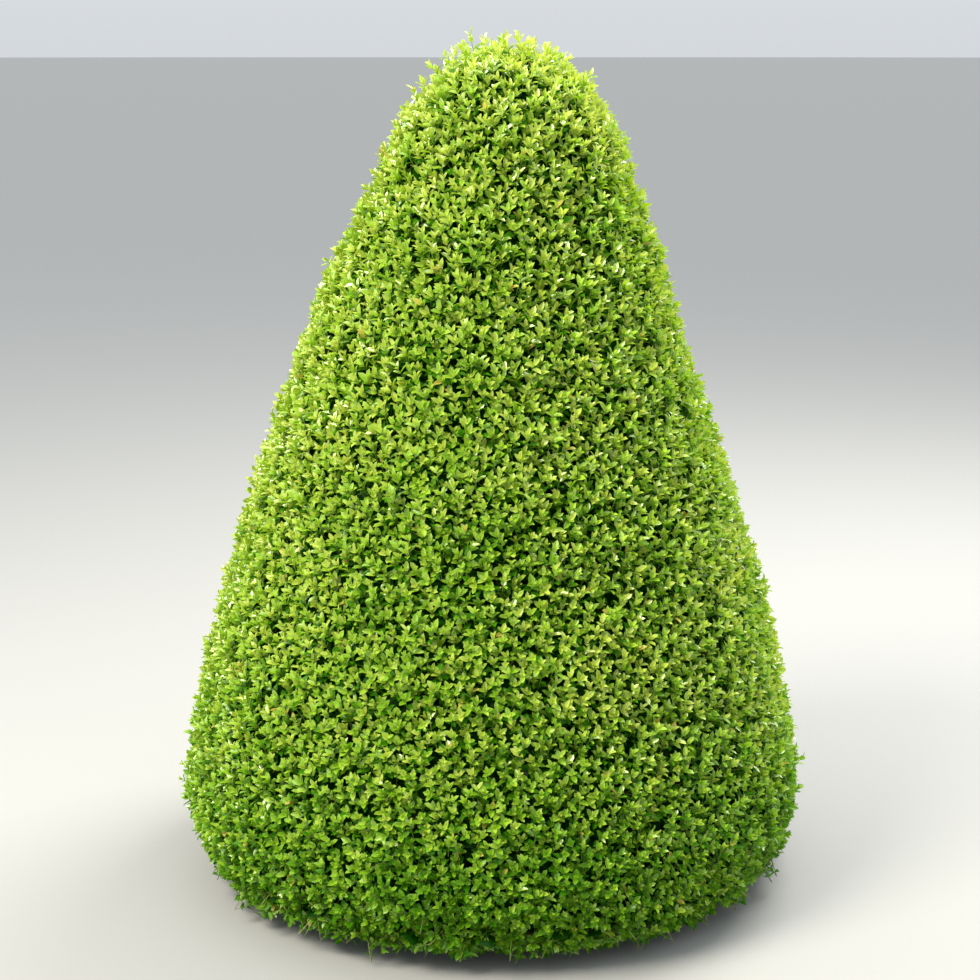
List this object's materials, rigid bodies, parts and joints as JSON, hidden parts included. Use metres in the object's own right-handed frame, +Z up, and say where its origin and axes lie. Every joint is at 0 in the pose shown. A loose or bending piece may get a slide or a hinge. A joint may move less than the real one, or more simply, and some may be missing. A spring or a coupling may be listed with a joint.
{
  "type": "boxwood cone topiary",
  "caption": "Boxwood shrub clipped to a tall round cone with a domed top and a tucked-in hem: one dense mass of leaves on boughs and a short flared trunk, rooted in the ground.",
  "frame": {"origin": "middle of the flat cut under the trunk, at ground level", "axes": "+Z up; -Y is the front that the picture shows, +X to the right in the picture"},
  "size_m": [1.2208, 1.2206, 1.6064],
  "materials": {
    "bark": "matte, finely ridged",
    "leaves": "satin"
  },
  "bodies": {
    "root": {"trunk": "bark", "bough_right": "bark", "bough_back": "bark", "bough_left": "bark", "bough_front": "bark", "foliage": "leaves"}
  },
  "joints": []
}
